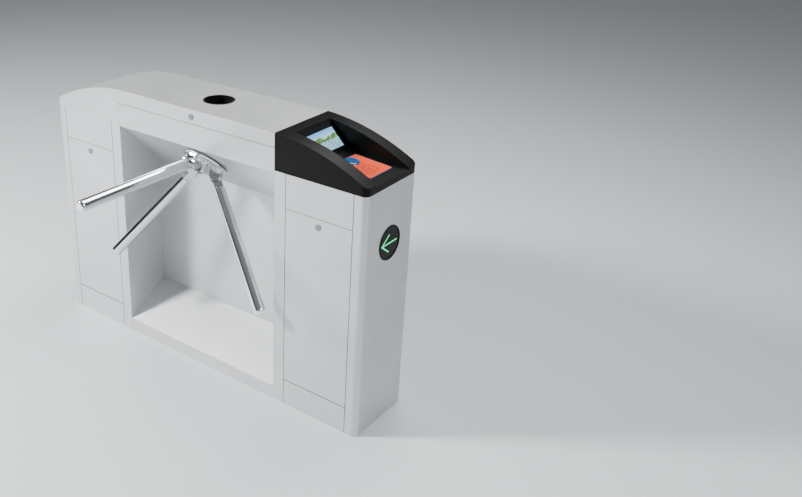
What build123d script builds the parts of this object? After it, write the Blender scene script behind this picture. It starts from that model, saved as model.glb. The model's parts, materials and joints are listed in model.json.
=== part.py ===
"""Bridge-type tripod turnstile with a visitor-counter console.

Millimetres. +X runs along the cabinet to the console end, -Y faces the passage that the arms
close, +Z is up, and the origin is on the floor under the middle of the cabinet.
"""
import os
from math import sqrt

from build123d import *

# --- overall sizes -------------------------------------------------------------------------
length = 1400.0
width = 280.0
height = 980.0
sheet = 1.5  # stainless sheet
gap = 0.3  # between pieces that move against each other
corner_r = 20.0  # plan radius of the two end corners

# --- cabinet layout ------------------------------------------------------------------------
niche_half = 355.0  # half the width of the open niche
pillar_top = 855.0
fascia_bottom = 846.0
lid_seam = 930.0
end_top = 880.0  # where the curved ends meet the end faces
end_arc_r = 780.0
niche_back_y = 42.0
sill_front_z = 52.0
sill_back_z = 160.0
niche_back_top = 690.0

# --- pillar fronts -------------------------------------------------------------------------
stile = 44.0  # plain strip on each side of a door
seam = 2.0  # visible gap round the front panels
lid_clear = seam / 2  # above and below the middle of the lid's seam
kick_top = 97.0
door_top = 736.0
infill_bottom = 738.0
stile_return = 13.5
door_return = 12.0
pivot_inset = 6.0  # door pivot from the outer face and from the bottom edge
pivot_r = 3.0
running = 0.05  # radial clearance of a pin in a moving piece

# --- base ----------------------------------------------------------------------------------
base_t = 6.0
anchor_x = 240.0
anchor_y = 200.0
anchor_r = 7.0
cable_r = 25.0

# --- locks ---------------------------------------------------------------------------------
lock_head_r = 11.0
lock_head_out = 2.5
lock_barrel_r = 9.5
lock_nut_r = 13.0
lock_nut_t = 4.0
lock_plug_r = 6.0
cam_screw_r = 3.5
keyway_w = 1.6
keyway_h = 8.0
lock_z = 710.0
lid_lock_z = 955.0
door_cam = 40.0
lid_cam = 24.0
cam_w = 14.0
cam_t = 2.0
lock_depth = 20.0  # outer face to the end of the barrel

# --- accessory cup -------------------------------------------------------------------------
cup_r = 50.0
cup_depth = 58.0
cup_wall = 2.0
cup_rim = 5.0
cup_rim_t = 1.2

# --- console -------------------------------------------------------------------------------
console_wall = 4.0
tray_half = 90.0
screen_top_x = 395.0
screen_bottom_x = 478.0
tray_end_z = 876.0
tray_start_z = 894.0
glass_w, glass_h, glass_t = 164.0, 96.0, 2.0
window_w, window_h = 156.0, 88.0
module_t = 9.0  # display panel behind the console's skin
pad_x0, pad_x1, pad_half, pad_t = 520.0, 660.0, 62.0, 2.0
pad_corner_r = 12.0
lens_r, lens_h, lens_inset = 25.0, 5.0, 4.0
reader_w, reader_l, reader_t = 110.0, 120.0, 18.0

# --- indicator -----------------------------------------------------------------------------
indicator_z = 660.0
indicator_r = 52.0
bezel_r = 58.0
bezel_out = 3.0
lens_t = 4.5
board_space = 6.0  # lens to the lamp board
led_w, led_reach = 6.0, 34.0

# --- tripod --------------------------------------------------------------------------------
axis_front = 64.0  # the 45 degree axis meets the ceiling this far behind the front face
ceiling_to_pivots = 34.0
pivot_circle_r = 57.0
arm_reach = 490.0  # clevis pin to arm end
arm_r = 19.0
arm_wall = 2.0
flange_r, flange_t = 82.0, 7.0
ear_r = 21.0
ear_t = 12.0
tongue_w = 26.0
tongue_h = 30.0
clevis_pin_r = 6.0
shaft_r = 15.0

# --- mechanism behind the ceiling, distances measured back from the plane of the clevis pins
plate_w0 = 60.0
plate_t = 6.0
disc_w0 = 112.0
disc_t = 8.0
disc_r = 58.0
notch_w = 16.0
notch_floor_r = 42.0
pawl_x, pawl_y = 66.0, 36.0
pawl_tail = 66.0  # pawl pivot to the point the plunger pushes
plunger_r = 4.0

left, right = -1, 1
half_l = length / 2
half_w = width / 2
front = -half_w
door_centre = (niche_half + half_l) / 2
door_x0 = niche_half + stile
door_x1 = half_l - stile
pivot_y = front + pivot_inset
pivot_z = kick_top + pivot_inset * sqrt(2) + gap
door_bottom = pivot_z - pivot_inset


# --- shared shapes -------------------------------------------------------------------------
def box(x0, x1, y0, y1, z0, z1, mode=Mode.ADD):
    """A block between two corners, inside the part being built."""
    with Locations(((x0 + x1) / 2, (y0 + y1) / 2, (z0 + z1) / 2)):
        Box(abs(x1 - x0), abs(y1 - y0), abs(z1 - z0), mode=mode)


def rod(radius, start, direction, span, mode=Mode.ADD):
    """A cylinder from a point along a direction, inside the part being built."""
    with Locations(Plane(origin=start, z_dir=direction).location):
        Cylinder(radius, span, align=(Align.CENTER, Align.CENTER, Align.MIN), mode=mode)


def pillar_plan(side, inset):
    """Plan outline of a pillar, with its outer corners rounded, in the sketch being built."""
    w = half_l - niche_half
    with Locations((side * door_centre, 0)):
        plan = Rectangle(w - 2 * inset, width - 2 * inset)
    outer = [v for v in plan.vertices() if abs(v.X) > door_centre]
    fillet(outer, corner_r - inset)


def end_profile(side, inset, floor, start):
    """Side view of a curved end: the arc on top, a flat bottom, and where it starts in X."""
    x1, top = half_l - inset, height - inset
    with BuildSketch(Plane.XZ) as profile:
        with BuildLine():
            arc = RadiusArc((side * start, top), (side * x1, end_top - inset), side * end_arc_r)
            Polyline(arc @ 1, (side * x1, floor), (side * start, floor), arc @ 0)
        make_face()
    return profile.sketch


def save(part, name):
    part.label = name
    export_step(part, f"parts/{name}.step")


os.makedirs("parts", exist_ok=True)

# --- pillars -------------------------------------------------------------------------------
for side, name in ((left, "pillar_left"), (right, "pillar_right")):
    with BuildPart() as pillar:
        with BuildSketch():
            pillar_plan(side, 0)
        extrude(amount=pillar_top)
        with BuildSketch():
            pillar_plan(side, sheet)
        extrude(amount=pillar_top, mode=Mode.SUBTRACT)
        box(side * door_x0, side * door_x1, front, front + sheet, 0, pillar_top, Mode.SUBTRACT)
        for edge, inward in ((door_x0, -sheet), (door_x1, sheet)):
            box(side * edge, side * (edge + inward), front + sheet, front + sheet + stile_return,
                base_t, pillar_top)
            rod(pivot_r, (side * (edge + inward) - sheet, pivot_y, pivot_z), (1, 0, 0),
                4 * sheet, Mode.SUBTRACT)
        if side == right:
            rod(indicator_r, (half_l - 2 * sheet, 0, indicator_z), (1, 0, 0), 4 * sheet,
                Mode.SUBTRACT)
    save(pillar.part, name)

# --- floor plates --------------------------------------------------------------------------
for side, name in ((left, "base_left"), (right, "base_right")):
    with BuildPart() as base:
        with BuildSketch():
            pillar_plan(side, sheet)
        extrude(amount=base_t)
        with Locations((side * door_centre, 0, base_t)):
            with GridLocations(anchor_x, anchor_y, 2, 2):
                Hole(anchor_r)
            Hole(cable_r)
    save(base.part, name)


# --- fixed front panels --------------------------------------------------------------------
def front_panel(side, z0, z1, flange_z0, flange_z1):
    """A fixed panel between the stiles, held by lips behind their returns."""
    lip_y = front + sheet + stile_return
    with BuildPart() as panel:
        x0, x1 = door_x0 + seam, door_x1 - seam
        box(side * x0, side * x1, front, front + sheet, z0, z1)
        for edge, out in ((x0, -1), (x1, 1)):
            box(side * edge, side * (edge - out * sheet), front + sheet, lip_y + sheet,
                flange_z0, flange_z1)
            box(side * edge, side * (edge + out * (seam + 3 * sheet)), lip_y, lip_y + sheet,
                flange_z0, flange_z1)
    return panel.part


for side, word in ((left, "left"), (right, "right")):
    save(front_panel(side, 0, kick_top, base_t, kick_top - 10), f"kick_{word}")
    with BuildPart() as infill:
        add(front_panel(side, infill_bottom, pillar_top, infill_bottom, pillar_top))
        # the door cam closes behind the edge of this shelf
        box(side * (door_x0 + seam + sheet), side * (door_x1 - seam - sheet), front + sheet,
            front + lock_depth, infill_bottom, infill_bottom + sheet)
    save(infill.part, f"infill_{word}")

# --- doors ---------------------------------------------------------------------------------
for side, word in ((left, "left"), (right, "right")):
    x0, x1 = door_x0 + seam, door_x1 - seam
    with BuildPart() as door:
        box(side * x0, side * x1, front, front + sheet, door_bottom, door_top)
        box(side * x0, side * x1, front + sheet, front + sheet + door_return,
            door_top - sheet, door_top)
        for edge, inward in ((x0, sheet), (x1, -sheet)):
            box(side * edge, side * (edge + inward), front + sheet,
                front + sheet + door_return, door_bottom + sheet, door_top - sheet)
            rod(pivot_r + running, (side * edge - 2 * sheet, pivot_y, pivot_z), (1, 0, 0),
                4 * sheet, Mode.SUBTRACT)
        rod(lock_barrel_r, (side * door_centre, front - sheet, lock_z), (0, 1, 0), 4 * sheet,
            Mode.SUBTRACT)
    save(door.part, f"door_{word}")

with BuildPart() as door_pivots:
    for side in (left, right):
        for edge, out in ((door_x0, -1), (door_x1, 1)):
            start = side * (edge + out * 4 * sheet)
            rod(pivot_r, (start, pivot_y, pivot_z), (-side * out, 0, 0), 4 * sheet + seam + 4)
save(door_pivots.part, "door_pivots")


# --- cam locks -----------------------------------------------------------------------------
def lock_body(x, z):
    """Head, threaded barrel and nut of a cam lock in a front face."""
    with BuildPart() as body:
        rod(lock_head_r, (x, front - lock_head_out, z), (0, 1, 0), lock_head_out)
        fillet(body.edges().filter_by(GeomType.CIRCLE).group_by(Axis.Y)[0], 1.0)
        rod(lock_barrel_r, (x, front, z), (0, 1, 0), lock_depth)
        with BuildSketch(Plane.XZ.offset(-(front + sheet))):
            with Locations((x, z)):
                RegularPolygon(lock_nut_r, 6)
        extrude(amount=-lock_nut_t)
        rod(lock_plug_r, (x, front - 2 * lock_head_out, z), (0, 1, 0), 2 * lock_depth,
            Mode.SUBTRACT)
    return body.part


def lock_plug(x, z, cam, cam_dir):
    """Key plug with a cam on its inner end, which points along +X or -Z while unlocked."""
    face_y = front - lock_head_out + gap
    cam_y = front + lock_depth + gap
    with BuildPart() as plug:
        rod(lock_plug_r - running, (x, face_y, z), (0, 1, 0), cam_y - face_y)
        with BuildSketch(Plane.XZ.offset(-cam_y)):
            with Locations((x, z)):
                Circle(cam_w / 2)
                with Locations((cam_dir[0] * cam / 2, cam_dir[1] * cam / 2)):
                    if cam_dir[0]:
                        Rectangle(cam, cam_w)
                    else:
                        Rectangle(cam_w, cam)
        extrude(amount=-cam_t)
        rod(cam_screw_r, (x, cam_y + cam_t, z), (0, 1, 0), cam_screw_r)
        box(x - keyway_w / 2, x + keyway_w / 2, face_y - 1, face_y + 6, z - keyway_h / 2,
            z + keyway_h / 2, Mode.SUBTRACT)
    return plug.part


for side, word in ((left, "left"), (right, "right")):
    save(lock_body(side * door_centre, lock_z), f"lock_body_{word}")
    save(lock_plug(side * door_centre, lock_z, door_cam, (1, 0)), f"lock_plug_{word}")
save(lock_body(0, lid_lock_z), "lid_lock_body")
save(lock_plug(0, lid_lock_z, lid_cam, (0, -1)), "lid_lock_plug")

# --- bridge between the pillars ------------------------------------------------------------
slope_sum = front + fascia_bottom  # y + z on the 45 degree ceiling
lip_depth = 12.0
catch_x0, catch_x1, catch_depth = 14.0, 36.0, 20.0
shaft_hole_r = shaft_r + 7
axis_y = front + axis_front  # where the rotor axis meets the ceiling
with BuildPart() as fascia:
    lip_z = lid_seam - lid_clear - sheet
    lip_y = front + lip_depth
    box(-niche_half, niche_half, front, front + sheet, fascia_bottom, lid_seam - lid_clear)
    box(-niche_half, niche_half, front + sheet, lip_y, lip_z, lip_z + sheet)
    for side in (left, right):
        box(side * niche_half, side * (niche_half - sheet), front + sheet, half_w - sheet,
            fascia_bottom + sheet, lip_z)
    # catch that stops the lid lock's cam from lifting
    catch_z = lid_lock_z + cam_w / 2 + 1
    catch_y = lip_y + catch_depth
    box(catch_x0, catch_x1, lip_y, catch_y, lip_z, lip_z + sheet)
    box(catch_x0, catch_x1, catch_y - sheet, catch_y, lip_z, catch_z + sheet)
    box(catch_x0, catch_x1, lip_y + 5, catch_y, catch_z, catch_z + sheet)
save(fascia.part, "fascia")

with BuildPart() as niche_ceiling:
    y0 = front + sheet
    thick = sheet * sqrt(2)
    with BuildSketch(Plane.YZ.offset(-niche_half)):
        Polygon(
            (y0, slope_sum - y0),
            (niche_back_y, slope_sum - niche_back_y),
            (niche_back_y, slope_sum - niche_back_y + thick),
            (y0, slope_sum - y0 + thick),
            align=None,
        )
    extrude(amount=2 * niche_half)
    rod(shaft_hole_r, (0, axis_y - thick, slope_sum - axis_y - thick), (0, 1, 1), 4 * thick,
        Mode.SUBTRACT)
save(niche_ceiling.part, "niche_ceiling")

with BuildPart() as niche_back:
    box(-niche_half, niche_half, niche_back_y, niche_back_y + sheet, sheet, niche_back_top)
save(niche_back.part, "niche_back")

with BuildPart() as niche_sill:
    sill_slope = (sill_back_z - sill_front_z) / (niche_back_y - front)
    under = sheet * sqrt(1 + sill_slope**2)  # upright thickness of the sloping sheet
    with BuildSketch(Plane.YZ.offset(-niche_half)):
        Polygon(
            (front, 0),
            (half_w - sheet, 0),
            (half_w - sheet, sheet),
            (front + sheet, sheet),
            (front + sheet, sill_front_z - under + sill_slope * sheet),
            (niche_back_y, sill_back_z - under),
            (niche_back_y, sill_back_z),
            (front, sill_front_z),
            align=None,
        )
    extrude(amount=2 * niche_half)
save(niche_sill.part, "niche_sill")

with BuildPart() as rear_panel:
    box(-niche_half, niche_half, half_w - sheet, half_w, 0, lid_seam - lid_clear)
save(rear_panel.part, "rear_panel")

# --- curved left end -----------------------------------------------------------------------
with BuildPart() as end_hollow:
    extrude(end_profile(left, sheet, pillar_top - sheet, niche_half + sheet), amount=half_w,
            both=True)
    with BuildSketch():
        pillar_plan(left, sheet)
    extrude(amount=height, mode=Mode.INTERSECT)

with BuildPart() as end_cap:
    extrude(end_profile(left, 0, pillar_top, niche_half), amount=half_w, both=True)
    with BuildSketch():
        pillar_plan(left, 0)
    extrude(amount=height, mode=Mode.INTERSECT)
    add(end_hollow.part, mode=Mode.SUBTRACT)
save(end_cap.part, "end_cap")

# --- lid -----------------------------------------------------------------------------------
with BuildPart() as lid:
    lid_half, lid_bottom = niche_half - gap, lid_seam + lid_clear
    inner_x, inner_y = lid_half - sheet, half_w - sheet
    box(-lid_half, lid_half, -half_w, half_w, lid_bottom, height)
    box(-inner_x, inner_x, -inner_y, inner_y, lid_bottom, height - sheet, Mode.SUBTRACT)
    rod(cup_r, (0, 0, height - 2 * sheet), (0, 0, 1), 4 * sheet, Mode.SUBTRACT)
    rod(lock_barrel_r, (0, front - sheet, lid_lock_z), (0, 1, 0), 4 * sheet, Mode.SUBTRACT)
save(lid.part, "lid")

with BuildPart() as lid_cup:
    rod(cup_r + cup_rim, (0, 0, height), (0, 0, 1), cup_rim_t)
    rod(cup_r, (0, 0, height - cup_depth), (0, 0, 1), cup_depth)
    rod(cup_r - cup_wall, (0, 0, height - cup_depth + cup_wall), (0, 0, 1), cup_depth,
        Mode.SUBTRACT)
save(lid_cup.part, "lid_cup")

# --- lid hinge -----------------------------------------------------------------------------
hinge_y, hinge_z, hinge_r, hinge_pin_r = half_w + 4.0, lid_seam, 4.0, 2.0
hinge_half, hinge_runs, hinge_play = 300.0, 6, 0.4
knuckle_space, leaf_reach, leaf_screw_out, leaf_screw_r = 4.5, 25.0, 16.0, 2.0


def hinge_leaf(up, first, bore_r):
    """One leaf of the piano hinge: up is +1 for the lid's leaf and -1 for the fixed one."""
    run = 2 * hinge_half / hinge_runs
    with BuildPart() as leaf:
        box(-hinge_half, hinge_half, half_w, half_w + sheet, hinge_z + up * knuckle_space,
            hinge_z + up * leaf_reach)
        for i in range(first, hinge_runs, 2):
            x0 = -hinge_half + i * run + hinge_play / 2
            box(x0, x0 + run - hinge_play, half_w, half_w + sheet, hinge_z,
                hinge_z + up * knuckle_space)
            rod(hinge_r, (x0, hinge_y, hinge_z), (1, 0, 0), run - hinge_play)
        rod(bore_r, (-hinge_half - 1, hinge_y, hinge_z), (1, 0, 0), 2 * hinge_half + 2,
            Mode.SUBTRACT)
        for i in range(hinge_runs):
            screw_x = -hinge_half + (i + 0.5) * run
            rod(leaf_screw_r, (screw_x, half_w - sheet, hinge_z + up * leaf_screw_out), (0, 1, 0),
                3 * sheet, Mode.SUBTRACT)
    return leaf.part


save(hinge_leaf(-1, 0, hinge_pin_r), "lid_hinge_fixed")
save(hinge_leaf(1, 1, hinge_pin_r + running), "lid_hinge_moving")
with BuildPart() as lid_hinge_pin:
    rod(hinge_pin_r, (-hinge_half, hinge_y, hinge_z), (1, 0, 0), 2 * hinge_half)
save(lid_hinge_pin.part, "lid_hinge_pin")

# --- console -------------------------------------------------------------------------------
tray_drop = (tray_start_z - tray_end_z) / (half_l - screen_bottom_x)
screen_top_z = tray_start_z + screen_bottom_x - screen_top_x


def tray_outline(skin):
    """Side view of the tray space, or of that space with a skin round it."""
    over = 10  # past the console's outside
    end_x, lift = half_l + over, screen_top_z + over + skin * (sqrt(2) - 1)
    corner_x = screen_bottom_x - skin * (sqrt(2) - 1)
    floor_z = tray_start_z - skin * sqrt(1 + tray_drop**2) + tray_drop * skin * (sqrt(2) - 1)
    start_x = corner_x - (lift - floor_z)
    with BuildSketch(Plane.XZ) as outline:
        with BuildLine():
            Polyline(
                (start_x, lift),
                (corner_x, floor_z),
                (end_x, floor_z - tray_drop * (end_x - corner_x)),
                (end_x, lift),
                close=True,
            )
        make_face()
    return outline.sketch


with BuildPart() as console_hollow:
    extrude(end_profile(right, console_wall, pillar_top - sheet, niche_half + console_wall),
            amount=half_w, both=True)
    with BuildSketch():
        pillar_plan(right, console_wall)
    extrude(amount=height, mode=Mode.INTERSECT)
    extrude(tray_outline(console_wall), amount=tray_half + console_wall, both=True,
            mode=Mode.SUBTRACT)

screen_plane = Plane(
    origin=((screen_top_x + screen_bottom_x) / 2, 0, (screen_top_z + tray_start_z) / 2),
    x_dir=(0, 1, 0),
    z_dir=(1, 0, 1),
)
tray_plane = Plane(
    origin=(screen_bottom_x, 0, tray_start_z), x_dir=(0, 1, 0), z_dir=(tray_drop, 0, 1)
)

with BuildPart() as console:
    extrude(end_profile(right, 0, pillar_top, niche_half), amount=half_w, both=True)
    with BuildSketch():
        pillar_plan(right, 0)
    extrude(amount=height, mode=Mode.INTERSECT)
    add(console_hollow.part, mode=Mode.SUBTRACT)
    extrude(tray_outline(0), amount=tray_half, both=True, mode=Mode.SUBTRACT)
    with BuildSketch(screen_plane):
        Rectangle(glass_w, glass_h)
    extrude(amount=-glass_t, mode=Mode.SUBTRACT)
    with BuildSketch(screen_plane):
        Rectangle(window_w, window_h)
    extrude(amount=-2 * console_wall, mode=Mode.SUBTRACT)
save(console.part, "console")

with BuildPart() as display_glass:
    with BuildSketch(screen_plane):
        Rectangle(glass_w, glass_h)
    extrude(amount=-glass_t)
save(display_glass.part, "display_glass")

with BuildPart() as display_module:
    with BuildSketch(screen_plane.offset(-glass_t)):
        Rectangle(window_w, window_h)
    extrude(amount=-(console_wall - glass_t))
    with BuildSketch(screen_plane.offset(-console_wall)):
        Rectangle(glass_w, glass_h)
    extrude(amount=-module_t)
save(display_module.part, "display_module")

pad_length = pad_x1 - pad_x0
pad_centre = (pad_x0 + pad_x1) / 2 - screen_bottom_x
pad_plane = Plane(
    origin=tray_plane.from_local_coords((0, -pad_centre, 0)), x_dir=(0, 1, 0),
    z_dir=tray_plane.z_dir,
)
with BuildPart() as reader_pad:
    with BuildSketch(pad_plane):
        RectangleRounded(2 * pad_half, pad_length, pad_corner_r)
    extrude(amount=pad_t)
save(reader_pad.part, "reader_pad")

with BuildPart() as reader_lens:
    lens_plane = Plane(
        origin=pad_plane.from_local_coords((0, pad_length / 2 - lens_r - lens_inset, pad_t)),
        x_dir=(0, 1, 0), z_dir=pad_plane.z_dir,
    )
    with Locations(lens_plane.location):
        Cylinder(lens_r, lens_h, align=(Align.CENTER, Align.CENTER, Align.MIN))
    fillet(reader_lens.faces().sort_by(Axis.Z)[-1].edges(), lens_h - 1)
save(reader_lens.part, "reader_lens")

with BuildPart() as reader_box:
    with BuildSketch(pad_plane.offset(-console_wall)):
        RectangleRounded(reader_w, reader_l, pad_corner_r / 2)
    extrude(amount=-reader_t)
save(reader_box.part, "reader_box")

# --- direction indicator -------------------------------------------------------------------
with BuildPart() as indicator_bezel:
    rod(bezel_r, (half_l, 0, indicator_z), (1, 0, 0), bezel_out)
    fillet(indicator_bezel.faces().sort_by(Axis.X)[-1].edges(), 1.5)
    rod(indicator_r, (half_l, 0, indicator_z), (1, 0, 0), bezel_out, Mode.SUBTRACT)
save(indicator_bezel.part, "indicator_bezel")

lens_x0 = half_l - 2 * sheet
with BuildPart() as indicator_lens:
    rod(indicator_r, (lens_x0, 0, indicator_z), (1, 0, 0), lens_t)
save(indicator_lens.part, "indicator_lens")

with BuildPart() as indicator_board:
    board_r = indicator_r - 2
    led_x0, led_x1 = lens_x0 - board_space - 0.5, lens_x0 - board_space / 2
    rod(board_r, (lens_x0 - board_space - sheet, 0, indicator_z), (1, 0, 0),
        board_space + sheet)
    rod(board_r - 2, (lens_x0 - board_space, 0, indicator_z), (1, 0, 0), board_space,
        Mode.SUBTRACT)
    # rows of lamps
    box(led_x0, led_x1, -led_w / 2, led_w / 2, indicator_z - led_reach, indicator_z + led_reach)
    box(led_x0, led_x1, -led_reach, led_reach, indicator_z - led_w / 2, indicator_z + led_w / 2)
save(indicator_board.part, "indicator_board")

# --- tripod --------------------------------------------------------------------------------
step = ceiling_to_pivots / sqrt(2)
rotor_plane = Plane(
    origin=(0, axis_y - step, slope_sum - axis_y - step), x_dir=(1, 0, 0), z_dir=(0, -1, -1)
)


def back(distance):
    """Plane across the rotor axis, this far behind the clevis pins, facing into the cabinet."""
    return Plane(
        origin=rotor_plane.from_local_coords((0, 0, -distance)),
        x_dir=(1, 0, 0),
        z_dir=(0, 1, 1),
    )


flange_back = ceiling_to_pivots - 4
ear_base = flange_t - flange_back  # front of the disc, measured forward from the clevis pins
core_top = -6.0
slot_floor = -(tongue_h / 2 + 1)  # of the gap that an arm's tongue folds in
slot_root = pivot_circle_r - ear_r

# for each arm, x runs along its clevis pin and y out from the rotor axis
arm_planes = [Plane(rotor_plane.location * Rot(0, 0, -120 * k)) for k in range(3)]
ear_inner = tongue_w / 2 + gap
ear_outer = ear_inner + ear_t
lobe_y = pivot_circle_r + 16

with BuildPart() as hub:
    with BuildSketch(Plane(origin=rotor_plane.origin, x_dir=(1, 0, 0),
                           z_dir=-rotor_plane.y_dir)):
        Polygon(
            (0, -flange_back),
            (flange_r - 3, -flange_back),
            (flange_r, 2.5 - flange_back),
            (flange_r - 6, ear_base),
            (0, ear_base),
            align=None,
        )
    revolve(axis=Axis(rotor_plane.origin, rotor_plane.z_dir))
    # six-sided body whose flats join one clevis to the next
    with BuildSketch(rotor_plane.offset(ear_base)):
        corners = [(turn.position.X, turn.position.Y) for k in range(3) for turn in (
            Rot(0, 0, 120 * k) * Pos(ear_outer, lobe_y, 0),
            Rot(0, 0, 120 * k) * Pos(-ear_outer, lobe_y, 0))]
        Polygon(*corners, align=None)
    extrude(amount=core_top - ear_base, taper=8)
    for plane in arm_planes:
        for x0 in (ear_inner, -ear_outer):
            with BuildSketch(Plane(origin=plane.from_local_coords((x0, 0, 0)),
                                   x_dir=plane.y_dir, z_dir=plane.x_dir)):
                with Locations((pivot_circle_r, 0)):
                    Circle(ear_r)
                Polygon(
                    (slot_root - 12, ear_base),
                    (lobe_y, ear_base),
                    (pivot_circle_r + ear_r, 0),
                    (pivot_circle_r - ear_r, 0),
                    (slot_root - 12, ear_base + 10),
                    align=None,
                )
            extrude(amount=ear_t)
    for plane in arm_planes:
        with BuildSketch(plane.offset(slot_floor)):
            with Locations((0, (slot_root + flange_r) / 2)):
                Rectangle(2 * ear_inner, flange_r - slot_root)
        extrude(amount=2 * ear_r, mode=Mode.SUBTRACT)
        rod(clevis_pin_r, plane.from_local_coords((-ear_outer - 1, pivot_circle_r, 0)),
            plane.x_dir, 2 * ear_outer + 2, Mode.SUBTRACT)
save(hub.part, "hub")

with BuildPart() as clevis_pins:
    for plane in arm_planes:
        rod(clevis_pin_r, plane.from_local_coords((-ear_outer, pivot_circle_r, 0)), plane.x_dir,
            2 * ear_outer)
        for end, way in ((-ear_outer, 1), (ear_outer, -1)):
            rod(clevis_pin_r / 2, plane.from_local_coords((end, pivot_circle_r, 0)),
                way * plane.x_dir, 2, Mode.SUBTRACT)
save(clevis_pins.part, "clevis_pins")

shaft_end = disc_w0 + disc_t + 14
with BuildPart() as main_shaft:
    rod(shaft_r, rotor_plane.from_local_coords((0, 0, -flange_back)), (0, 1, 1),
        shaft_end - flange_back)
    chamfer(main_shaft.faces().sort_by(Axis.Z)[-1].edges(), 1.5)
save(main_shaft.part, "main_shaft")

# --- arms ----------------------------------------------------------------------------------
shoulder = 46.0  # clevis pin to the start of the tube
cap_t, spigot = 9.0, 16.0
for k, plane in enumerate(arm_planes, start=1):
    pin = plane.from_local_coords((0, pivot_circle_r, 0))
    along = (plane.y_dir + plane.z_dir).normalized()
    with BuildPart() as arm_tongue:
        with BuildSketch(Plane(origin=pin - plane.x_dir * tongue_w / 2, x_dir=along,
                               z_dir=plane.x_dir)):
            Circle(tongue_h / 2)
            with Locations((shoulder / 2, 0)):
                Rectangle(shoulder, tongue_h)
        extrude(amount=tongue_w)
        rod(arm_r - arm_wall, pin + along * shoulder, along, spigot)
        rod(clevis_pin_r + running, pin - plane.x_dir * tongue_w, plane.x_dir, 2 * tongue_w,
            Mode.SUBTRACT)
    save(arm_tongue.part, f"arm_tongue_{k}")
    tube_span = arm_reach - cap_t - shoulder
    with BuildPart() as arm_tube:
        rod(arm_r, pin + along * shoulder, along, tube_span)
        rod(arm_r - arm_wall, pin + along * shoulder, along, tube_span, Mode.SUBTRACT)
    save(arm_tube.part, f"arm_tube_{k}")
    with BuildPart() as arm_cap:
        end = pin + along * (arm_reach - cap_t)
        with Locations(Plane(origin=end, z_dir=along).location):
            Cylinder(arm_r, cap_t, align=(Align.CENTER, Align.CENTER, Align.MIN))
        crown = arm_cap.faces().sort_by(lambda f: (f.center() - pin).dot(along))[-1]
        fillet(crown.edges(), cap_t - 1)
        rod(arm_r - arm_wall, end, -along, spigot)
    save(arm_cap.part, f"arm_cap_{k}")

# --- mechanism -----------------------------------------------------------------------------
ceiling_w = ceiling_to_pivots + sheet
post_x, post_y0, post_y1, post_r = 140.0, -40.0, 85.0, 6.0
plate_margin, plate_corner_r = 10.0, 8.0
pawl_boss_r, pawl_head_r, pawl_head_t = 8.0, 7.0, 2.0
plate_back = plate_w0 + plate_t


def place(distance, x, y):
    """Point this far behind the clevis pins: x along the cabinet, y down and back."""
    return back(distance).from_local_coords((x, y, 0))


into = Vector(0, 1, 1).normalized()  # along the shaft, into the cabinet
with BuildPart() as mech_plate:
    with BuildSketch(back(plate_w0)):
        with Locations((0, (post_y0 + post_y1) / 2)):
            RectangleRounded(2 * (post_x + plate_margin),
                             post_y1 - post_y0 + 2 * plate_margin, plate_corner_r)
        Circle(shaft_r + 3, mode=Mode.SUBTRACT)
    extrude(amount=plate_t)
    for x in (-post_x, post_x):
        for y in (post_y0, post_y1):
            rod(post_r, place(ceiling_w, x, y), into, plate_w0 - ceiling_w)
    for x in (-pawl_x, pawl_x):
        rod(pawl_boss_r, place(plate_back, x, -pawl_y), into, disc_w0 - gap - plate_back)
        rod(plunger_r, place(disc_w0 - gap, x, -pawl_y), into, disc_t + 2 * pawl_head_t)
        rod(pawl_head_r, place(disc_w0 + disc_t + gap, x, -pawl_y), into, pawl_head_t)
save(mech_plate.part, "mech_plate")

bearing_t, bearing_r = 12.0, 21.0
housing_span, housing_r = 40.0, 32.0
housing_flange_r, housing_flange_t = 45.0, 8.0
bearing_starts = (plate_back, plate_back + housing_span - bearing_t)
with BuildPart() as bearing_housing:
    rod(housing_flange_r, place(plate_back, 0, 0), into, housing_flange_t)
    rod(housing_r, place(plate_back, 0, 0), into, housing_span)
    rod(shaft_r + 2, place(plate_back, 0, 0), into, housing_span, Mode.SUBTRACT)
    for w in bearing_starts:
        rod(bearing_r, place(w, 0, 0), into, bearing_t, Mode.SUBTRACT)
save(bearing_housing.part, "bearing_housing")

with BuildPart() as bearings:
    for w in bearing_starts:
        rod(bearing_r, place(w, 0, 0), into, bearing_t)
        rod(shaft_r + running, place(w, 0, 0), into, bearing_t, Mode.SUBTRACT)
save(bearings.part, "bearings")

collar_r, collar_t, notch_count = 24.0, 8.0, 6
with BuildPart() as index_disc:
    with BuildSketch(back(disc_w0)):
        Circle(disc_r)
        with PolarLocations(notch_floor_r + disc_r / 2, notch_count):
            Rectangle(disc_r, notch_w, mode=Mode.SUBTRACT)
    extrude(amount=disc_t)
    rod(collar_r, place(disc_w0 + disc_t, 0, 0), into, collar_t)
    rod(shaft_r, place(disc_w0, 0, 0), into, disc_t + collar_t, Mode.SUBTRACT)
save(index_disc.part, "index_disc")

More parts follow.
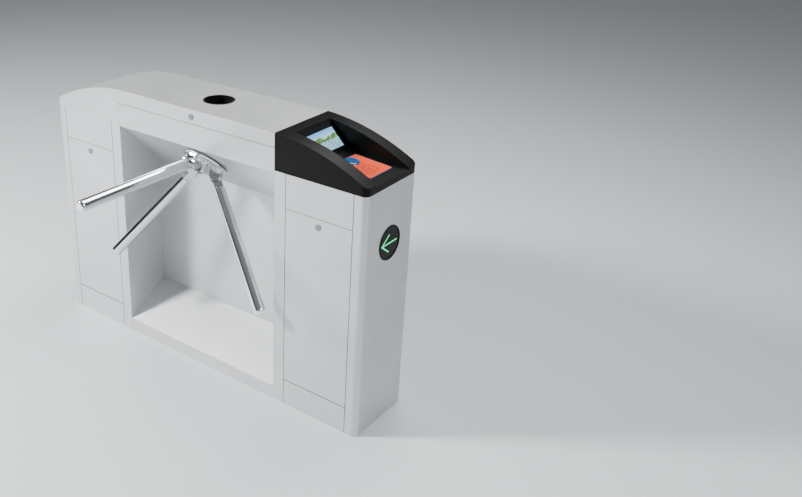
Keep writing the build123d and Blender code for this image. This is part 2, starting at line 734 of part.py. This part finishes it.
# the pawl hangs from its pivot past the disc's notch to the tail that the plunger pushes
tail_y = pawl_tail - pawl_y
nose_x, lever_x, tail_x, tail_end = 58.7, 64.0, 71.0, tail_y + 4
eye_r, nose_half, lever_w = 9.0, 3.5, 8.0
push_gap = 1.0
coil_x0, coil_x1, coil_half = 95.0, 145.0, 15.0
plunger_w = disc_w0 + disc_t / 2
for side, word in ((left, "left"), (right, "right")):
    with BuildPart() as pawl:
        with BuildSketch(back(disc_w0)):
            with Locations((side * pawl_x, -pawl_y)):
                Circle(eye_r)
            Polygon(
                *[(side * x, y) for x, y in (
                    (lever_x, -pawl_y), (lever_x, -lever_w / 2), (nose_x, -nose_half),
                    (nose_x, nose_half), (lever_x, lever_w / 2), (tail_x, lever_w),
                    (tail_x, tail_end), (tail_x + lever_w, tail_end), (tail_x + lever_w, 0),
                    (lever_x + lever_w, -1.5 * lever_w), (lever_x + lever_w, -pawl_y),
                )],
                align=None,
            )
        extrude(amount=disc_t)
        rod(plunger_r + running, place(disc_w0 - 5, side * pawl_x, -pawl_y), into,
            disc_t + 10, Mode.SUBTRACT)
    save(pawl.part, f"pawl_{word}")
    with BuildPart() as plunger:
        tip = tail_x + lever_w + push_gap
        rod(plunger_r, place(plunger_w, side * tip, tail_y), (side, 0, 0),
            coil_x1 - 5 - tip)
        rod(plunger_r + 2, place(plunger_w, side * (coil_x0 - 4), tail_y), (side, 0, 0), 3)
    save(plunger.part, f"plunger_{word}")

with BuildPart() as solenoids:
    for side in (left, right):
        with BuildSketch(back(plate_back)):
            for x in (coil_x0 + 3, coil_x1 - 3):
                with Locations((side * x, tail_y)):
                    Rectangle(6, 2 * coil_half)
        extrude(amount=plunger_w - coil_half - plate_back)
        with BuildSketch(back(plunger_w - coil_half)):
            with Locations((side * (coil_x0 + coil_x1) / 2, tail_y)):
                Rectangle(coil_x1 - coil_x0, 2 * coil_half)
        extrude(amount=2 * coil_half)
        rod(plunger_r + running, place(plunger_w, side * (coil_x0 - 5), tail_y),
            (side, 0, 0), coil_x1 - coil_x0 + 2, Mode.SUBTRACT)
save(solenoids.part, "solenoids")

# --- electronics ---------------------------------------------------------------------------
board_w, board_h, board_z, board_t = 200.0, 140.0, 480.0, 1.6
standoff, standoff_r, standoff_in = 12.0, 4.0, 8.0
terminals, terminal_w, terminal_pitch, terminal_h, terminal_d = 6, 24.0, 30.0, 14.0, 12.0
chip_x, chip_size, chip_t = 70.0, 30.0, 3.0
relay_x, relay_w, relay_h, relay_d = 120.0, 60.0, 40.0, 18.0
inner_rear = half_w - sheet
with BuildPart() as control_board:
    x0, x1 = -door_centre - board_w / 2, -door_centre + board_w / 2
    z0, z1 = board_z - board_h / 2, board_z + board_h / 2
    face_y = inner_rear - standoff - board_t
    box(x0, x1, face_y, inner_rear - standoff, z0, z1)
    for x in (x0 + standoff_in, x1 - standoff_in):
        for z in (z0 + standoff_in, z1 - standoff_in):
            rod(standoff_r, (x, inner_rear - standoff, z), (0, 1, 0), standoff)
    for i in range(terminals):
        x = x0 + terminal_w / 2 + terminal_pitch * i
        box(x, x + terminal_w, face_y - terminal_d, face_y, z0 + 4, z0 + 4 + terminal_h)
    x = x0 + chip_x
    box(x, x + chip_size, face_y - chip_t, face_y, board_z - 5, board_z - 5 + chip_size)
    x = x0 + relay_x
    box(x, x + relay_w, face_y - relay_d, face_y, board_z + 5, board_z + 5 + relay_h)
save(control_board.part, "control_board")

supply_w, supply_d, supply_z0, supply_z1 = 110.0, 40.0, 380.0, 560.0
vent_r, vent_depth, vent_pitch_x, vent_pitch_z = 4.0, 3.0, 12.0, 14.0
vents_across, vents_up = 7, 9
with BuildPart() as power_supply:
    box(door_centre - supply_w / 2, door_centre + supply_w / 2, inner_rear - supply_d,
        inner_rear, supply_z0, supply_z1)
    with Locations(Plane.XZ.offset(supply_d - inner_rear)):
        with Locations((door_centre, (supply_z0 + supply_z1) / 2)):
            with GridLocations(vent_pitch_x, vent_pitch_z, vents_across, vents_up):
                Hole(vent_r, depth=vent_depth)
save(power_supply.part, "power_supply")
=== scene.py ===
"""Looks of the tripod turnstile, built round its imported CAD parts. Metres, row frame."""

import bmesh
import bpy
import json
from math import pi, radians, sqrt
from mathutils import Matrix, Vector


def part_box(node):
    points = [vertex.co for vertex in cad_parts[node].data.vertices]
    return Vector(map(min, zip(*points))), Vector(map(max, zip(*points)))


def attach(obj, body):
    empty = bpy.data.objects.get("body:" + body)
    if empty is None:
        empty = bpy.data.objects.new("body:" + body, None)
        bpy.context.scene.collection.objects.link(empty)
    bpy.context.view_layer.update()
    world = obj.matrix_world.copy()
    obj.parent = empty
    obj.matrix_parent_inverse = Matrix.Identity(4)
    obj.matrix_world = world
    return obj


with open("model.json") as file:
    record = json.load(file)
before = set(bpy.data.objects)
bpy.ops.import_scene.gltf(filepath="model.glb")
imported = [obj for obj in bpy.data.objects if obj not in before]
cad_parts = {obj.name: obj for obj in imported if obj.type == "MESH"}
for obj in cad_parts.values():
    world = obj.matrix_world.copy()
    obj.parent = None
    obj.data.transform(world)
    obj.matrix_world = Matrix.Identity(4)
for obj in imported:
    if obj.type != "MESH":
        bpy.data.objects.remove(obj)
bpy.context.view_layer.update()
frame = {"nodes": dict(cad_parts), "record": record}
nodes = frame["nodes"]
MM = 0.001


# --- small tools ---------------------------------------------------------------------------
def colour(code, alpha=1.0):
    """An sRGB hex code as linear RGBA."""
    parts = [int(code[i:i + 2], 16) / 255 for i in (1, 3, 5)]
    return (*[c / 12.92 if c <= 0.04045 else ((c + 0.055) / 1.055) ** 2.4 for c in parts], alpha)


def add_node(tree, kind, settings=None, inputs=None):
    """Adds one node. An input is a value or the socket that feeds it."""
    made = tree.nodes.new(kind)
    for name, value in (settings or {}).items():
        setattr(made, name, value)
    for name, value in (inputs or {}).items():
        if isinstance(value, bpy.types.NodeSocket):
            tree.links.new(value, made.inputs[name])
        else:
            made.inputs[name].default_value = value
    return made


def ramp(tree, factor, stops):
    """A colour ramp through (position, hex code) stops."""
    made = add_node(tree, "ShaderNodeValToRGB", inputs={"Fac": factor})
    elements = made.color_ramp.elements
    while len(elements) < len(stops):
        elements.new(0.5)
    for element, (position, code) in zip(elements, stops):
        element.position, element.color = position, colour(code)
    return made.outputs["Color"]


def material(name, **inputs):
    """A Principled material, and its tree and shader for whatever is added next."""
    made = bpy.data.materials.new(name)
    made.use_nodes = True
    tree = made.node_tree
    shader = tree.nodes["Principled BSDF"]
    for socket, value in inputs.items():
        shader.inputs[socket.replace("_", " ")].default_value = value
    return made, tree, shader


def object_noise(tree, scale_mm, stretch=(1, 1, 1), detail=3.0, roughness=0.5):
    """Noise in the object's own space, with a feature size in millimetres per axis."""
    place = add_node(tree, "ShaderNodeTexCoord").outputs["Object"]
    scale = [s / (scale_mm * MM) for s in stretch]
    mapped = add_node(tree, "ShaderNodeMapping", inputs={"Vector": place, "Scale": scale})
    return add_node(tree, "ShaderNodeTexNoise", inputs={
        "Vector": mapped.outputs["Vector"], "Scale": 1.0, "Detail": detail,
        "Roughness": roughness}).outputs["Fac"]


def spread(tree, value, low, high):
    """Maps a noise value onto a range."""
    return add_node(tree, "ShaderNodeMapRange", inputs={
        "Value": value, "From Min": 0.3, "From Max": 0.7, "To Min": low, "To Max": high,
    }).outputs["Result"]


def soften(tree, shader, radius_mm, height=None, strength=0.1, distance_mm=0.05):
    """Rounds the look of sharp edges and adds a fine surface relief."""
    normal = add_node(tree, "ShaderNodeBevel", {"samples": 4}, {"Radius": radius_mm * MM})
    out = normal.outputs["Normal"]
    if height is not None:
        out = add_node(tree, "ShaderNodeBump", inputs={
            "Strength": strength, "Distance": distance_mm * MM, "Height": height,
            "Normal": out}).outputs["Normal"]
    tree.links.new(out, shader.inputs["Normal"])


# --- materials -----------------------------------------------------------------------------
def satin_steel():
    """Pale satin stainless sheet: its fine grain scatters light, and its edges and seams carry a
    painted line of shade and grime.
    """
    made, tree, shader = material("satin_stainless", Metallic=0.7)
    grain = object_noise(tree, 1.2, (0.04, 1, 1), detail=2.0)
    cloud = object_noise(tree, 260, detail=2.0)
    tone = ramp(tree, spread(tree, cloud, 0, 1), ((0, "#bfc1c3"), (1, "#c9cbcd")))
    shade_line_mm = 1.3  # how far the painted shade-and-grime line reaches in from a sheet's edge
    rounded = add_node(tree, "ShaderNodeBevel", {"samples": 6}, {"Radius": shade_line_mm * MM})
    alike = add_node(tree, "ShaderNodeVectorMath", {"operation": "DOT_PRODUCT"})
    tree.links.new(rounded.outputs["Normal"], alike.inputs[0])
    tree.links.new(add_node(tree, "ShaderNodeNewGeometry").outputs["True Normal"], alike.inputs[1])
    off_edge = add_node(tree, "ShaderNodeMapRange", inputs={
        "Value": alike.outputs["Value"], "From Min": 0.8, "From Max": 0.98})
    # painted shade and grime: edges and seams are mixed towards dark grey #3f4246 where the
    # bevelled normal parts from the true one
    tone = mix(tree, off_edge.outputs["Result"], "#3f4246", tone)
    tree.links.new(tone, shader.inputs["Base Color"])
    tree.links.new(spread(tree, grain, 0.36, 0.46), shader.inputs["Roughness"])
    soften(tree, shader, 1.2, grain, strength=0.06)
    return made


def polished_steel():
    """Mirror-like tube: bright streaks along it, with faint handling marks."""
    made, tree, shader = material(
        "polished_stainless", Metallic=1.0, Base_Color=colour("#e3e5e7"))
    marks = object_noise(tree, 35, detail=4.0)
    tree.links.new(spread(tree, marks, 0.07, 0.14), shader.inputs["Roughness"])
    soften(tree, shader, 0.8)
    return made


def cast_steel():
    """Polished casting: as bright as the tubes but a little wavy, so its glints break up."""
    made, tree, shader = material(
        "polished_casting", Metallic=1.0, Base_Color=colour("#d5d7d9"))
    wave = object_noise(tree, 9, detail=3.0)
    tree.links.new(spread(tree, wave, 0.12, 0.22), shader.inputs["Roughness"])
    soften(tree, shader, 2.0, wave, strength=0.12, distance_mm=0.3)
    return made


def machined_steel():
    """Turned and ground shafts, pins and levers: greyer, with fine tool marks."""
    made, tree, shader = material("machined_steel", Metallic=1.0, Base_Color=colour("#a4a7ab"))
    marks = object_noise(tree, 0.8, detail=2.0)
    tree.links.new(spread(tree, marks, 0.25, 0.4), shader.inputs["Roughness"])
    soften(tree, shader, 0.5, marks, strength=0.1)
    return made


def galvanised_steel():
    """Zinc-plated inner steel: dull, with the faint patches of the plating."""
    made, tree, shader = material("zinc_plated_steel", Metallic=1.0, Roughness=0.5)
    spangle = add_node(tree, "ShaderNodeTexVoronoi", inputs={
        "Vector": add_node(tree, "ShaderNodeTexCoord").outputs["Object"], "Scale": 110.0})
    tone = ramp(tree, spangle.outputs["Color"], ((0, "#8f9599"), (1, "#b4b9bb")))
    tree.links.new(tone, shader.inputs["Base Color"])
    soften(tree, shader, 0.6)
    return made


def moulded_plastic(name, code, gloss_low, gloss_high, texture_mm):
    """Moulded plastic: even colour and a fine texture that spreads its highlights."""
    made, tree, shader = material(name, Base_Color=colour(code), Specular_IOR_Level=0.12)
    texture = object_noise(tree, texture_mm, detail=2.0)
    tree.links.new(spread(tree, texture, gloss_low, gloss_high), shader.inputs["Roughness"])
    soften(tree, shader, 1.5, texture, strength=0.15)
    return made


def chrome_lock():
    """Chromed zinc lock parts and screws: hard and shiny, and darker than the sheet round them."""
    made, tree, shader = material(
        "chromed_zinc", Metallic=1.0, Roughness=0.2, Base_Color=colour("#85888c"))
    soften(tree, shader, 0.4)
    return made


def circuit_board():
    """Green solder mask: glossy over faint copper tracks."""
    made, tree, shader = material("solder_mask", Roughness=0.3)
    place = add_node(tree, "ShaderNodeTexCoord").outputs["Object"]
    tracks = add_node(tree, "ShaderNodeTexBrick", {"offset": 0.5}, {
        "Vector": place, "Scale": 120.0, "Mortar Size": 0.02,
        "Color1": colour("#0e5a33"), "Color2": colour("#0c4f2d"), "Mortar": colour("#2f8a58")})
    tree.links.new(tracks.outputs["Color"], shader.inputs["Base Color"])
    return made


def dark_lens():
    """Smoked plastic window: nearly black and only faintly shiny, so it hides the board."""
    made, tree, shader = material(
        "smoked_lens", Base_Color=colour("#020303"), Specular_IOR_Level=0.15)
    haze = object_noise(tree, 60)
    tree.links.new(spread(tree, haze, 0.04, 0.09), shader.inputs["Roughness"])
    return made


def led_green():
    """Lit green LED heads: the bright saturated dots of the arrow."""
    return material(
        "lit_green_led", Roughness=0.3, Base_Color=colour("#0b6b3a"),
        Emission_Color=colour("#35f08c"), Emission_Strength=2.2)[0]


def blue_dome():
    """Blue reader window: clear-coated deep blue that looks wet at its rim."""
    made, tree, shader = material("blue_reader_window", Roughness=0.12, Coat_Weight=0.8)
    place = add_node(tree, "ShaderNodeTexCoord").outputs["Object"]
    shade = add_node(tree, "ShaderNodeTexNoise", inputs={"Vector": place, "Scale": 60.0})
    tone = ramp(tree, shade.outputs["Fac"], ((0.35, "#0d3f78"), (0.65, "#155a93")))
    tree.links.new(tone, shader.inputs["Base Color"])
    return made


def in_plane(tree, origin, across, up):
    """Millimetres across and up a plane, from a point on it, as two sockets."""
    place = add_node(tree, "ShaderNodeTexCoord").outputs["Object"]
    shifted = add_node(tree, "ShaderNodeVectorMath", {"operation": "SUBTRACT"})
    tree.links.new(place, shifted.inputs[0])
    shifted.inputs[1].default_value = origin
    out = []
    for direction in (across, up):
        dot = add_node(tree, "ShaderNodeVectorMath", {"operation": "DOT_PRODUCT"})
        tree.links.new(shifted.outputs["Vector"], dot.inputs[0])
        dot.inputs[1].default_value = Vector(direction) / MM
        out.append(dot.outputs["Value"])
    return out


def calc(tree, operation, a, b=0.0, c=0.0):
    """One arithmetic step on sockets or numbers."""
    made = add_node(tree, "ShaderNodeMath", {"operation": operation})
    for socket, value in zip(made.inputs, (a, b, c)):
        if isinstance(value, bpy.types.NodeSocket):
            tree.links.new(value, socket)
        else:
            socket.default_value = value
    return made.outputs["Value"]


def mix(tree, factor, a, b):
    """Blends two colours, each a hex code or a socket."""
    made = add_node(tree, "ShaderNodeMix", {"data_type": "RGBA"})
    values = (factor, *[colour(v) if isinstance(v, str) else v for v in (a, b)])
    for socket, value in zip((made.inputs[0], made.inputs[6], made.inputs[7]), values):
        if isinstance(value, bpy.types.NodeSocket):
            tree.links.new(value, socket)
        else:
            socket.default_value = value
    return made.outputs[2]


def display_picture():
    """Lit screen behind glass: a plain lake view with a dark surround, glossy on top."""
    made, tree, shader = material(
        "screen_behind_glass", Roughness=0.08, Emission_Strength=1.9)
    # millimetres: the lit area and how far it sits below the middle, then the view's heights
    lit_half_w, lit_half_h, lit_drop = 75.0, 36.0, 6.0
    hill_rise, hill_foot, shore = 46.0, 18.0, -8.0
    low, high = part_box("display_glass")
    glass_face = Vector((1, 0, 1)) * 0.7 * MM
    centre = (Vector(low) + Vector(high)) / 2 + glass_face
    across, up = in_plane(tree, centre, (0, 1, 0), (-sqrt(0.5), 0, sqrt(0.5)))
    hills = calc(tree, "MULTIPLY", object_noise(tree, 38, (0, 1, 0), detail=4.0), hill_rise)
    skyline = calc(tree, "GREATER_THAN", up, calc(tree, "SUBTRACT", hills, hill_foot))
    water = calc(tree, "LESS_THAN", up, shore)
    sky = ramp(tree, calc(tree, "MULTIPLY_ADD", up, 0.02, 0.3),
               ((0, "#cfe3ee"), (0.5, "#8fc0e0"), (1, "#4f8fc8")))
    foliage = ramp(tree, object_noise(tree, 6, detail=4.0),
                   ((0.35, "#20452a"), (0.5, "#4a7a3c"), (0.65, "#93a860")))
    ripple = ramp(tree, object_noise(tree, 5, (4, 1, 4), detail=3.0),
                  ((0.35, "#2f6f8c"), (0.55, "#7fb4c4"), (0.7, "#e4eff2")))
    picture = mix(tree, water, mix(tree, skyline, foliage, sky), ripple)
    from_middle = calc(tree, "ABSOLUTE", calc(tree, "ADD", up, lit_drop))
    inside = calc(tree, "MULTIPLY",
                  calc(tree, "LESS_THAN", calc(tree, "ABSOLUTE", across), lit_half_w),
                  calc(tree, "LESS_THAN", from_middle, lit_half_h))
    shown = mix(tree, inside, "#050607", picture)
    tree.links.new(mix(tree, inside, "#050607", "#101214"), shader.inputs["Base Color"])
    tree.links.new(shown, shader.inputs["Emission Color"])
    return made


def pad_overlay():
    """Glossy printed overlay: orange-red, dark at its edge, with darker rings of dots."""
    made, tree, shader = material("printed_overlay", Roughness=0.25, Coat_Weight=0.4)
    # millimetres: the red field, the middle and reach of the rings, and the dots' spacing
    red_half_w, red_half_l = 58.5, 66.5
    rings_along, rings_reach, ring_turn, dot_pitch = 26.0, 40.0, 0.34, 5.0
    low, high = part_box("reader_pad")
    centre = (Vector(low) + Vector(high)) / 2
    across, along = in_plane(tree, centre, (0, 1, 0), (1, 0, 0))
    dot_at = add_node(tree, "ShaderNodeTexVoronoi", {"feature": "F1"}, {
        "Vector": add_node(tree, "ShaderNodeCombineXYZ", inputs={
            "X": across, "Y": along}).outputs["Vector"],
        "Scale": 1 / dot_pitch, "Randomness": 0.0})
    dots = calc(tree, "LESS_THAN", dot_at.outputs["Distance"], 0.34)
    reach = calc(tree, "SQRT", calc(tree, "ADD",
                 calc(tree, "POWER", across, 2.0),
                 calc(tree, "POWER", calc(tree, "SUBTRACT", along, rings_along), 2.0)))
    rings = calc(tree, "GREATER_THAN",
                 calc(tree, "SINE", calc(tree, "MULTIPLY", reach, ring_turn)), 0.1)
    near = calc(tree, "LESS_THAN", reach, rings_reach)
    printed = calc(tree, "MULTIPLY", calc(tree, "MULTIPLY", dots, rings), near)
    edge = calc(tree, "MAXIMUM",
                calc(tree, "GREATER_THAN", calc(tree, "ABSOLUTE", across), red_half_w),
                calc(tree, "GREATER_THAN", calc(tree, "ABSOLUTE", along), red_half_l))
    red = mix(tree, printed, "#e2461b", "#8e2411")
    tree.links.new(mix(tree, edge, red, "#2c4b4c"), shader.inputs["Base Color"])
    return made


looks = {
    "satin_steel": satin_steel(),
    "polished_steel": polished_steel(),
    "cast_hub": cast_steel(),
    "machined_steel": machined_steel(),
    "bearing_steel": machined_steel(),
    "galvanised": galvanised_steel(),
    # black textured moulding of the console
    "console_plastic": moulded_plastic("black_abs", "#040404", 0.3, 0.42, 0.9),
    # plainer black plastic of the small mouldings
    "black_plastic": moulded_plastic("black_moulding", "#0c0c0d", 0.35, 0.5, 1.5),
    "screen_glass": display_picture(),
    # the panel behind the glass is hidden, so it is plain dark plastic
    "screen_module": moulded_plastic("panel_housing", "#202326", 0.4, 0.5, 2.0),
    "pad_overlay": pad_overlay(),
    "blue_lens": blue_dome(),
    "dark_lens": dark_lens(),
    "circuit_board": circuit_board(),
    "lock_chrome": chrome_lock(),
}
for part in frame["record"]["subparts"]:
    mesh = nodes[part["node"]].data
    mesh.materials.clear()
    mesh.materials.append(looks[part["material_slot"]])


# --- repeated pieces -----------------------------------------------------------------------
def copies_tree():
    """Geometry nodes: one piece at each point, turned to the point's own direction."""
    tree = bpy.data.node_groups.new("copies_at_points", "GeometryNodeTree")
    for name, kind in (("Points", "NodeSocketGeometry"), ("Piece", "NodeSocketObject"),
                       ("Finish", "NodeSocketMaterial")):
        tree.interface.new_socket(name, in_out="INPUT", socket_type=kind)
    tree.interface.new_socket("Copies", in_out="OUTPUT", socket_type="NodeSocketGeometry")
    given = add_node(tree, "NodeGroupInput").outputs
    piece = add_node(tree, "GeometryNodeObjectInfo", {"transform_space": "ORIGINAL"},
                     {"Object": given["Piece"], "As Instance": True})
    facing = add_node(tree, "GeometryNodeInputNamedAttribute", {"data_type": "FLOAT_VECTOR"},
                      {"Name": "facing"})
    turn = add_node(tree, "FunctionNodeAlignRotationToVector", {"axis": "Z"},
                    {"Vector": facing.outputs["Attribute"]})
    placed = add_node(tree, "GeometryNodeInstanceOnPoints", inputs={
        "Points": given["Points"], "Instance": piece.outputs["Geometry"],
        "Rotation": turn.outputs["Rotation"]})
    real = add_node(tree, "GeometryNodeRealizeInstances",
                    inputs={"Geometry": placed.outputs["Instances"]})
    done = add_node(tree, "GeometryNodeSetMaterial", inputs={
        "Geometry": real.outputs["Geometry"], "Material": given["Finish"]})
    add_node(tree, "NodeGroupOutput", inputs={"Copies": done.outputs["Geometry"]})
    return tree


copies = copies_tree()


def mesh_object(name, build):
    """A new object whose mesh is made by a function that fills a bmesh."""
    shape = bmesh.new()
    build(shape)
    mesh = bpy.data.meshes.new(name)
    shape.to_mesh(mesh)
    shape.free()
    made = bpy.data.objects.new(name, mesh)
    bpy.context.scene.collection.objects.link(made)
    return made


def repeat(name, piece, places, finish, body):
    """One mesh of copies of a piece at (point, direction) places, riding on a body."""
    mesh = bpy.data.meshes.new(name + "_points")
    mesh.from_pydata([p for p, _ in places], [], [])
    facing = mesh.attributes.new("facing", "FLOAT_VECTOR", "POINT")
    for item, (_, direction) in zip(facing.data, places):
        item.vector = direction
    points = bpy.data.objects.new(name + "_points", mesh)
    bpy.context.scene.collection.objects.link(points)
    modifier = points.modifiers.new("copies", "NODES")
    modifier.node_group = copies
    names = {s.name: s.identifier for s in copies.interface.items_tree if s.in_out == "INPUT"}
    modifier[names["Piece"]] = piece
    modifier[names["Finish"]] = finish
    view = bpy.context.evaluated_depsgraph_get()
    real = bpy.data.meshes.new_from_object(points.evaluated_get(view))
    bpy.data.objects.remove(points)
    bpy.data.objects.remove(piece)
    made = bpy.data.objects.new(name, real)
    bpy.context.scene.collection.objects.link(made)
    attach(made, body)
    return made


def turned(profile, steps=24):
    """A bmesh filler that turns (radius, height) points, in millimetres, round Z."""
    def build(shape):
        verts = [shape.verts.new((r * MM, 0, h * MM)) for r, h in profile]
        edges = [shape.edges.new(pair) for pair in zip(verts, verts[1:])]
        bmesh.ops.spin(shape, geom=verts + edges, cent=(0, 0, 0), axis=(0, 0, 1),
                       angle=2 * pi, steps=steps)
        bmesh.ops.remove_doubles(shape, verts=shape.verts, dist=1e-6)
        bmesh.ops.recalc_face_normals(shape, faces=shape.faces)
    return build


# lit arrow on the face of the round window, pointing to the passage side: a shaft and two barbs
low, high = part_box("indicator_lens")
lens_face, lens_z = high[0], (low[2] + high[2]) / 2
tip, tail, barb_back, barb_up, pitch = -45, 37, 38, 28, 6
strokes = [((tip, 0), (tail, 0))]
strokes += [((tip, 0), (tip + barb_back, side * barb_up)) for side in (-1, 1)]
arrow = set()
for start, end in strokes:
    start, end = Vector(start), Vector(end)
    count = round((end - start).length / pitch)
    for i in range(count + 1):
        y, z = start.lerp(end, i / count)
        arrow.add((round(y, 2), round(z, 2)))
arrow = [((lens_face, y * MM, lens_z + z * MM), (1, 0, 0)) for y, z in sorted(arrow)]
led_profile = ((0, 0.6), (1.6, 0.5), (2.5, 0.2), (2.7, -0.2), (0, -0.2))
led = mesh_object("led", turned(led_profile, 12))
repeat("indicator_leds", led, arrow, led_green(), "cabinet")

# low domed screws of the rear hinge
pin_low, pin_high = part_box("lid_hinge_pin")
pin_z = (pin_low[2] + pin_high[2]) / 2
leaf_t = 1.5 * MM
leaf_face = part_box("rear_panel")[1][1] + leaf_t
screw_count, screw_out = 6, 16 * MM
screw_profile = ((0, 0.5), (0.9, 0.5), (1.0, 0.9), (2.6, 1.0), (3.8, 0.3), (4.0, 0), (1.9, 0),
                 (1.9, -1.4), (0, -1.4))
screw_pitch = (pin_high[0] - pin_low[0]) / screw_count
for leaf, body, way in (("lid_hinge_fixed", "cabinet", -1), ("lid_hinge_moving", "lid", 1)):
    screw = mesh_object("screw", turned(screw_profile, 16))
    places = [((pin_low[0] + (i + 0.5) * screw_pitch, leaf_face, pin_z + way * screw_out),
               (0, 1, 0)) for i in range(screw_count)]
    repeat(f"{leaf}_screws", screw, places, looks["lock_chrome"], body)

# --- stage, light and camera ---------------------------------------------------------------
floor = mesh_object("floor", lambda shape: bmesh.ops.create_grid(
    shape, x_segments=1, y_segments=1, size=14))
floor.data.materials.append(
    material("pale_floor", Roughness=0.55, Base_Color=colour("#bbbfc2"))[0])

world = bpy.data.worlds.new("studio")
bpy.context.scene.world = world
world.use_nodes = True
sky = world.node_tree
toward = add_node(sky, "ShaderNodeTexCoord").outputs["Generated"]
height_of = add_node(sky, "ShaderNodeSeparateXYZ", inputs={"Vector": toward}).outputs["Z"]
glow = ramp(sky, height_of, (
    (0.0, "#6a6e73"), (0.12, "#4a4d51"), (0.3, "#b9bdc1"), (0.6, "#e6e9ec"), (1.0, "#ffffff")))
sky.links.new(glow, sky.nodes["Background"].inputs["Color"])
sky.nodes["Background"].inputs["Strength"].default_value = 0.28


def softbox(name, place, aim, size, power):
    """A square area light that points at a spot."""
    data = bpy.data.lights.new(name, "AREA")
    data.shape, data.size, data.energy = "SQUARE", size, power
    made = bpy.data.objects.new(name, data)
    made.location = place
    made.rotation_euler = (Vector(aim) - Vector(place)).to_track_quat("-Z", "Y").to_euler()
    bpy.context.scene.collection.objects.link(made)


# a small hard key from the left front, and two broad weak lights that fill the end and the top
softbox("key", (-2.8, -2.8, 2.9), (0, 0, 0.5), 0.7, 620)
softbox("side", (3.8, -0.9, 2.4), (0.6, 0, 0.6), 1.8, 120)
softbox("top", (0.3, 1.2, 3.4), (0, 0, 0.9), 1.8, 130)

camera_down, camera_turn = 23.64, 39.65  # degrees below level, and round from facing back
camera = bpy.data.objects.new("camera", bpy.data.cameras.new("camera"))
bpy.context.scene.collection.objects.link(camera)
bpy.context.scene.camera = camera
camera.data.sensor_width = 36.0
camera.data.lens = 41.3
camera.data.shift_x = 0.176
camera.data.shift_y = -0.06
camera.location = (2.022, -2.223, 1.921)
camera.rotation_euler = (radians(90 - camera_down), 0, radians(camera_turn))
